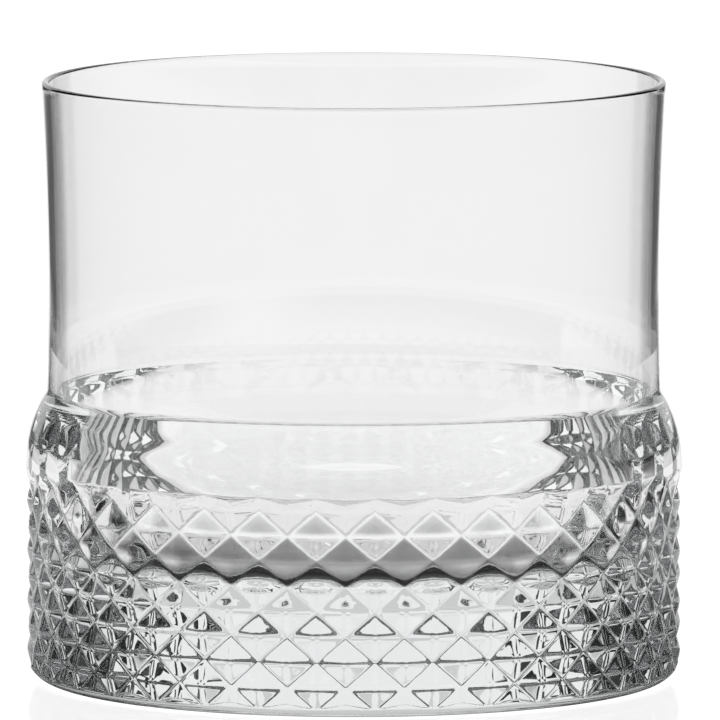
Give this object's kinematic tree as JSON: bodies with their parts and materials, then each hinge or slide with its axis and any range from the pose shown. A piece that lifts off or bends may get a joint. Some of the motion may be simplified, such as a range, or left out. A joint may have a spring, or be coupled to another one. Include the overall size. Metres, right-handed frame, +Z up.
{
  "type": "whiskey tumbler",
  "caption": "Clear glass whiskey tumbler: a thin, plain, slightly waisted bowl above a thick wider band of cut diamonds, with a rounded heel and a flat foot.",
  "frame": {"origin": "centre of the flat foot that the tumbler rests on", "axes": "+Z up the tumbler's axis to the rim; -Y is the side taken as the front, where one column of groove crossings stands 3.7 degrees to the right of the middle"},
  "size_m": [0.0956, 0.0956, 0.0876],
  "materials": {
    "clear_glass": "polished"
  },
  "bodies": {
    "root": {"tumbler": "clear_glass"}
  },
  "joints": []
}
